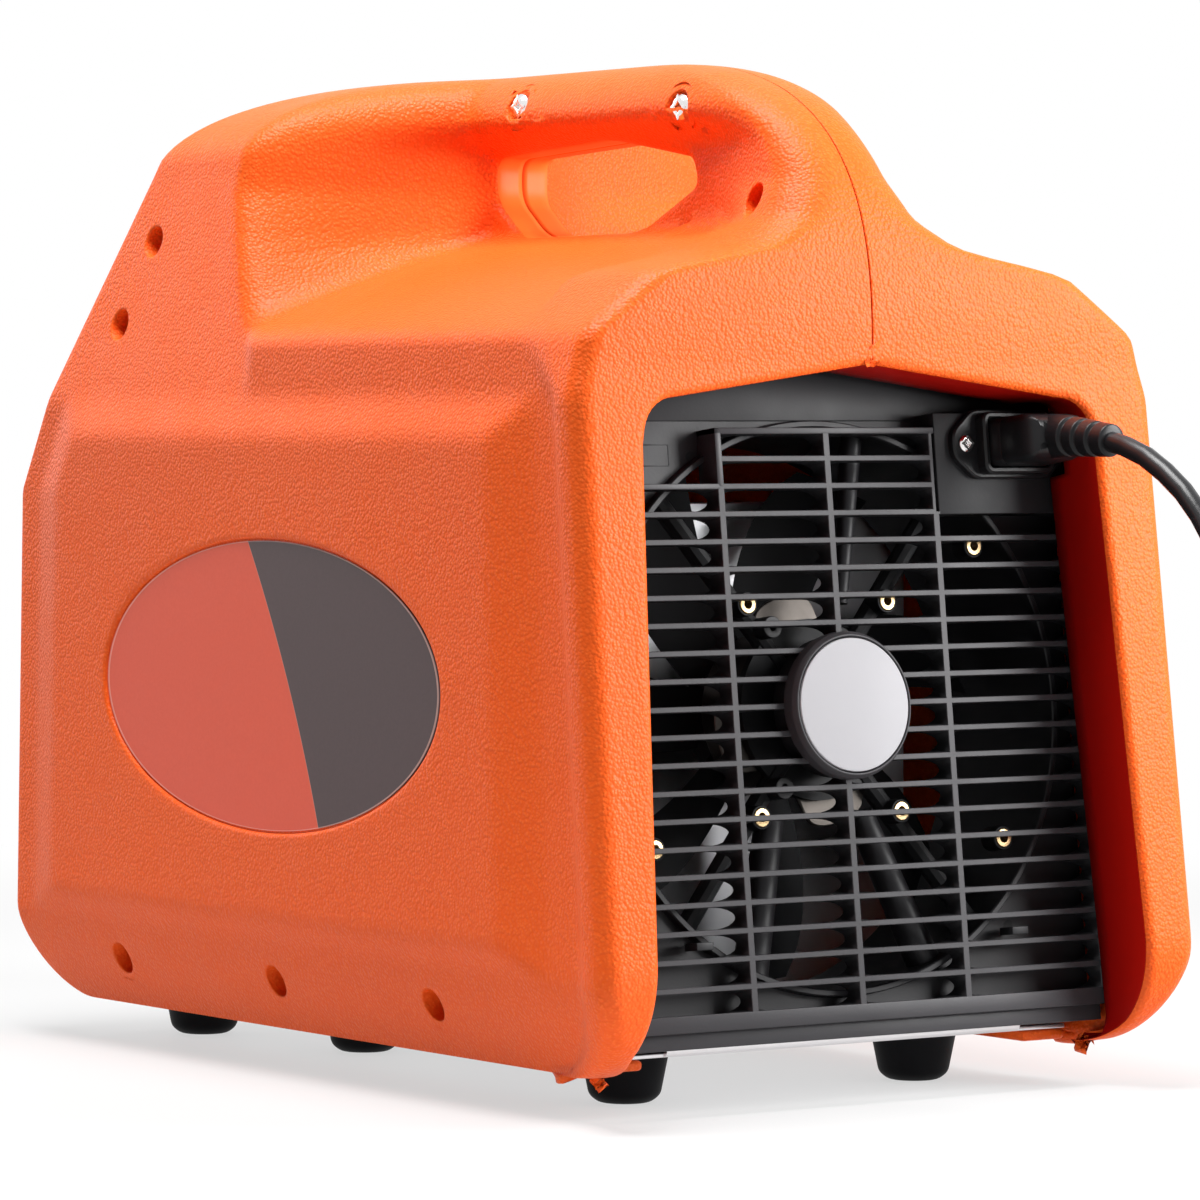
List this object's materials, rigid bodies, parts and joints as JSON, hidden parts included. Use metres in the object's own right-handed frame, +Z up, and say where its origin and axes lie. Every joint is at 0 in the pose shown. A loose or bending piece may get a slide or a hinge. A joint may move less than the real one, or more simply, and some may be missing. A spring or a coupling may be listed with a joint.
{
  "type": "refrigerant recovery machine",
  "caption": "Portable refrigerant recovery pump in a two-piece moulded case with grip, rear fan grille, mains inlet and cord, gauges, valves and flare ports.",
  "frame": {"origin": "On the floor under the middle of the case.", "axes": "+Z is up. +Y is the rear with the fan grille, mains inlet and cord. -Y is the operator's side with gauges, valves and ports. +X is the side that carries the oval label."},
  "size_m": [0.3552, 0.5404, 0.3548],
  "materials": {
    "orange_moulding": "fine leather-like grain outside, smooth inside",
    "charcoal_plastic": "satin moulded",
    "front_panel_plastic": "satin moulded",
    "label_film": "printed film in two plain colours",
    "bright_screw": "polished",
    "inlet_screw": "polished",
    "brushed_steel": "brushed",
    "shaft_steel": "turned",
    "black_rubber": "matt",
    "black_moulding": "satin",
    "cord_sheath": "soft satin",
    "tie_plastic": "satin",
    "pale_disc": "smooth",
    "brass_insert": "turned",
    "port_brass": "turned",
    "fan_motor_steel": "dull",
    "fan_black": "satin",
    "gauge_case": "satin",
    "gauge_glass": "clear",
    "needle_red": "satin",
    "inlet_knob_blue": "gloss",
    "outlet_knob_red": "gloss",
    "selector_black": "satin",
    "switch_black": "satin",
    "rocker_red": "gloss",
    "breaker_black": "satin",
    "button_white": "gloss",
    "manifold_aluminium": "milled",
    "cast_aluminium": "cast",
    "motor_black": "satin",
    "condenser_aluminium": "thin fins",
    "copper_pipe": "bare bright copper"
  },
  "bodies": {
    "case": {"base_plate": "brushed_steel", "breaker_body": "breaker_black", "case_screw_bottom_front": "bright_screw", "case_screw_bottom_middle": "bright_screw", "case_screw_bottom_rear": "bright_screw", "case_screw_hood_lower": "bright_screw", "case_screw_hood_upper": "bright_screw", "condenser": "condenser_aluminium", "control_panel": "front_panel_plastic", "cord_coil": "cord_sheath", "cord_tie": "tie_plastic", "crankcase": "cast_aluminium", "cylinder_left": "cast_aluminium", "cylinder_right": "cast_aluminium", "discharge_pipe": "copper_pipe", "fan_motor": "fan_motor_steel", "fan_shroud": "charcoal_plastic", "foot_front_left": "black_rubber", "foot_front_right": "black_rubber", "foot_middle_left": "black_rubber", "foot_middle_right": "black_rubber", "foot_rear_left": "black_rubber", "foot_rear_right": "black_rubber", "gauge_high": "gauge_case", "gauge_high_glass": "gauge_glass", "gauge_low": "gauge_case", "gauge_low_glass": "gauge_glass", "grille_disc": "pale_disc", "handle_screw_front": "bright_screw", "handle_screw_rear": "bright_screw", "inlet_port": "port_brass", "inlet_screw_inner": "inlet_screw", "inlet_screw_outer": "inlet_screw", "label_plate": "label_film", "liquid_pipe": "copper_pipe", "mains_inlet": "black_moulding", "mains_plug": "black_moulding", "outlet_port": "port_brass", "power_cord": "cord_sheath", "power_plug": "black_moulding", "power_switch_frame": "switch_black", "pump_motor": "motor_black", "rear_grille": "charcoal_plastic", "side_shell_left": "orange_moulding", "side_shell_right": "orange_moulding", "suction_pipe": "copper_pipe", "threaded_insert_1": "brass_insert", "threaded_insert_2": "brass_insert", "threaded_insert_3": "brass_insert", "threaded_insert_4": "brass_insert", "valve_manifold": "manifold_aluminium"},
    "fan_rotor": {"fan_rotor": "fan_black"},
    "drive_shaft": {"drive_shaft": "shaft_steel"},
    "needle_low": {"needle_low": "needle_red"},
    "needle_high": {"needle_high": "needle_red"},
    "inlet_valve_knob": {"inlet_valve_knob": "inlet_knob_blue"},
    "outlet_valve_knob": {"outlet_valve_knob": "outlet_knob_red"},
    "mode_selector_knob": {"mode_selector_knob": "selector_black"},
    "power_switch_rocker": {"power_switch_rocker": "rocker_red"},
    "breaker_button": {"breaker_button": "button_white"}
  },
  "joints": [
    {"name": "fan_spin", "type": "hinge", "parent": "case", "child": "fan_rotor", "pos_m": [0, 0.10287, 0.12774], "axis": [0, 0.9935, 0.1143], "continuous": true},
    {"name": "drive_shaft_spin", "type": "hinge", "parent": "case", "child": "drive_shaft", "pos_m": [0, -0.01, 0.095], "axis": [0, 1, 0], "continuous": true},
    {"name": "low_pressure_reading", "type": "hinge", "parent": "case", "child": "needle_low", "pos_m": [-0.043, -0.13616, 0.268], "axis": [0, 0.8725, -0.4886], "range_deg": [0, 270]},
    {"name": "high_pressure_reading", "type": "hinge", "parent": "case", "child": "needle_high", "pos_m": [0.043, -0.13616, 0.268], "axis": [0, 0.8725, -0.4886], "range_deg": [0, 270]},
    {"name": "inlet_valve_turn", "type": "hinge", "parent": "case", "child": "inlet_valve_knob", "pos_m": [-0.052, -0.172, 0.165], "axis": [0, -1, 0], "range_deg": [0, 90]},
    {"name": "outlet_valve_turn", "type": "hinge", "parent": "case", "child": "outlet_valve_knob", "pos_m": [0.052, -0.172, 0.165], "axis": [0, -1, 0], "range_deg": [0, 90]},
    {"name": "mode_selector_turn", "type": "hinge", "parent": "case", "child": "mode_selector_knob", "pos_m": [0, -0.172, 0.165], "axis": [0, -1, 0], "range_deg": [0, 180]},
    {"name": "power_switch_rock", "type": "hinge", "parent": "case", "child": "power_switch_rocker", "pos_m": [-0.03, -0.173, 0.058], "axis": [1, 0, 0], "range_deg": [0, 16]},
    {"name": "breaker_press", "type": "slide", "parent": "case", "child": "breaker_button", "axis": [0, 1, 0], "range_m": [0, 0.003], "stiffness_N_per_m": 400}
  ]
}
